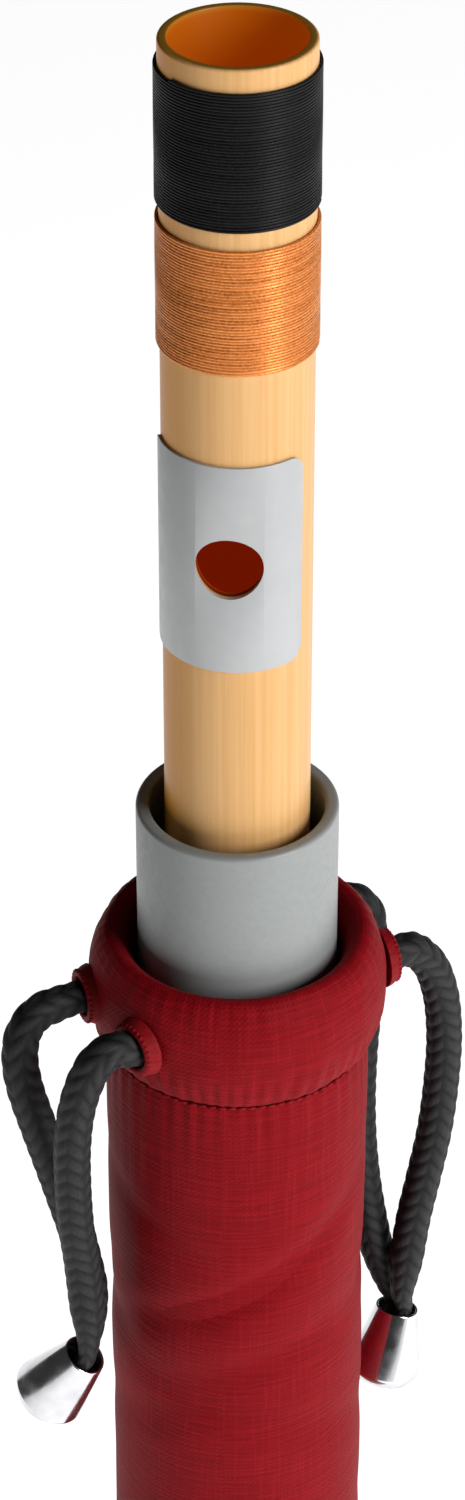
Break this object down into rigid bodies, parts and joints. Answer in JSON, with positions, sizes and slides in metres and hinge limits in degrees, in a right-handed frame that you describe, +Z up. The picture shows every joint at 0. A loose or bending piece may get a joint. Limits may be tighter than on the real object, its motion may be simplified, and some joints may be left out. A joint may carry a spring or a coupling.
{
  "type": "bansuri in its travel case",
  "caption": "Side-blown bamboo flute with thread bindings and a lip plate, standing in a rigid tube inside a padded drawcord sleeve.",
  "frame": {"origin": "middle of the case's base, on the surface that it stands on", "axes": "+Z up the flute, -Y the side that the blowing hole and the finger holes face, +X to the right seen from the front"},
  "size_m": [0.075, 0.0573, 0.5016],
  "materials": {
    "bamboo": "satin",
    "black_thread": "wound thread",
    "copper_thread": "wound thread with a metallic sheen",
    "lip_plate_grey": "satin",
    "cork": "raw cork",
    "tube_white": "satin",
    "plug_white": "satin",
    "foam": "felt",
    "red_cloth": "raw silk weave",
    "wadding": "wadding",
    "lining_black": "plain weave",
    "eyelet_red": "stitched ring",
    "cord_black": "braided cord",
    "chrome": "polished"
  },
  "bodies": {
    "sleeve": {"sleeve_cover": "red_cloth", "sleeve_padding": "wadding", "sleeve_lining": "lining_black", "sleeve_collar": "red_cloth", "eyelet_left_front": "eyelet_red", "eyelet_left_rear": "eyelet_red", "eyelet_right_front": "eyelet_red", "eyelet_right_rear": "eyelet_red", "drawcord_front": "cord_black", "drawcord_rear": "cord_black", "cord_bell_left": "chrome", "cord_bell_right": "chrome", "cord_knot_left": "cord_black", "cord_knot_right": "cord_black"},
    "case_tube": {"case_tube": "tube_white", "tube_end_plug": "plug_white", "foot_pad": "foam"},
    "flute": {"flute_tube": "bamboo", "lip_plate": "lip_plate_grey", "crown_binding_black": "black_thread", "crown_binding_copper": "copper_thread", "foot_binding_copper": "copper_thread", "foot_binding_black": "black_thread"},
    "cork": {"stopper_cork": "cork"}
  },
  "joints": [
    {"name": "tube_slide", "type": "slide", "parent": "sleeve", "child": "case_tube", "axis": [0, 0, 1], "range_m": [0, 0.335]},
    {"name": "flute_slide", "type": "slide", "parent": "case_tube", "child": "flute", "axis": [0, 0, 1], "range_m": [0, 0.35]},
    {"name": "cork_slide", "type": "slide", "parent": "flute", "child": "cork", "axis": [0, 0, 1], "range_m": [-0.005, 0.005]}
  ]
}
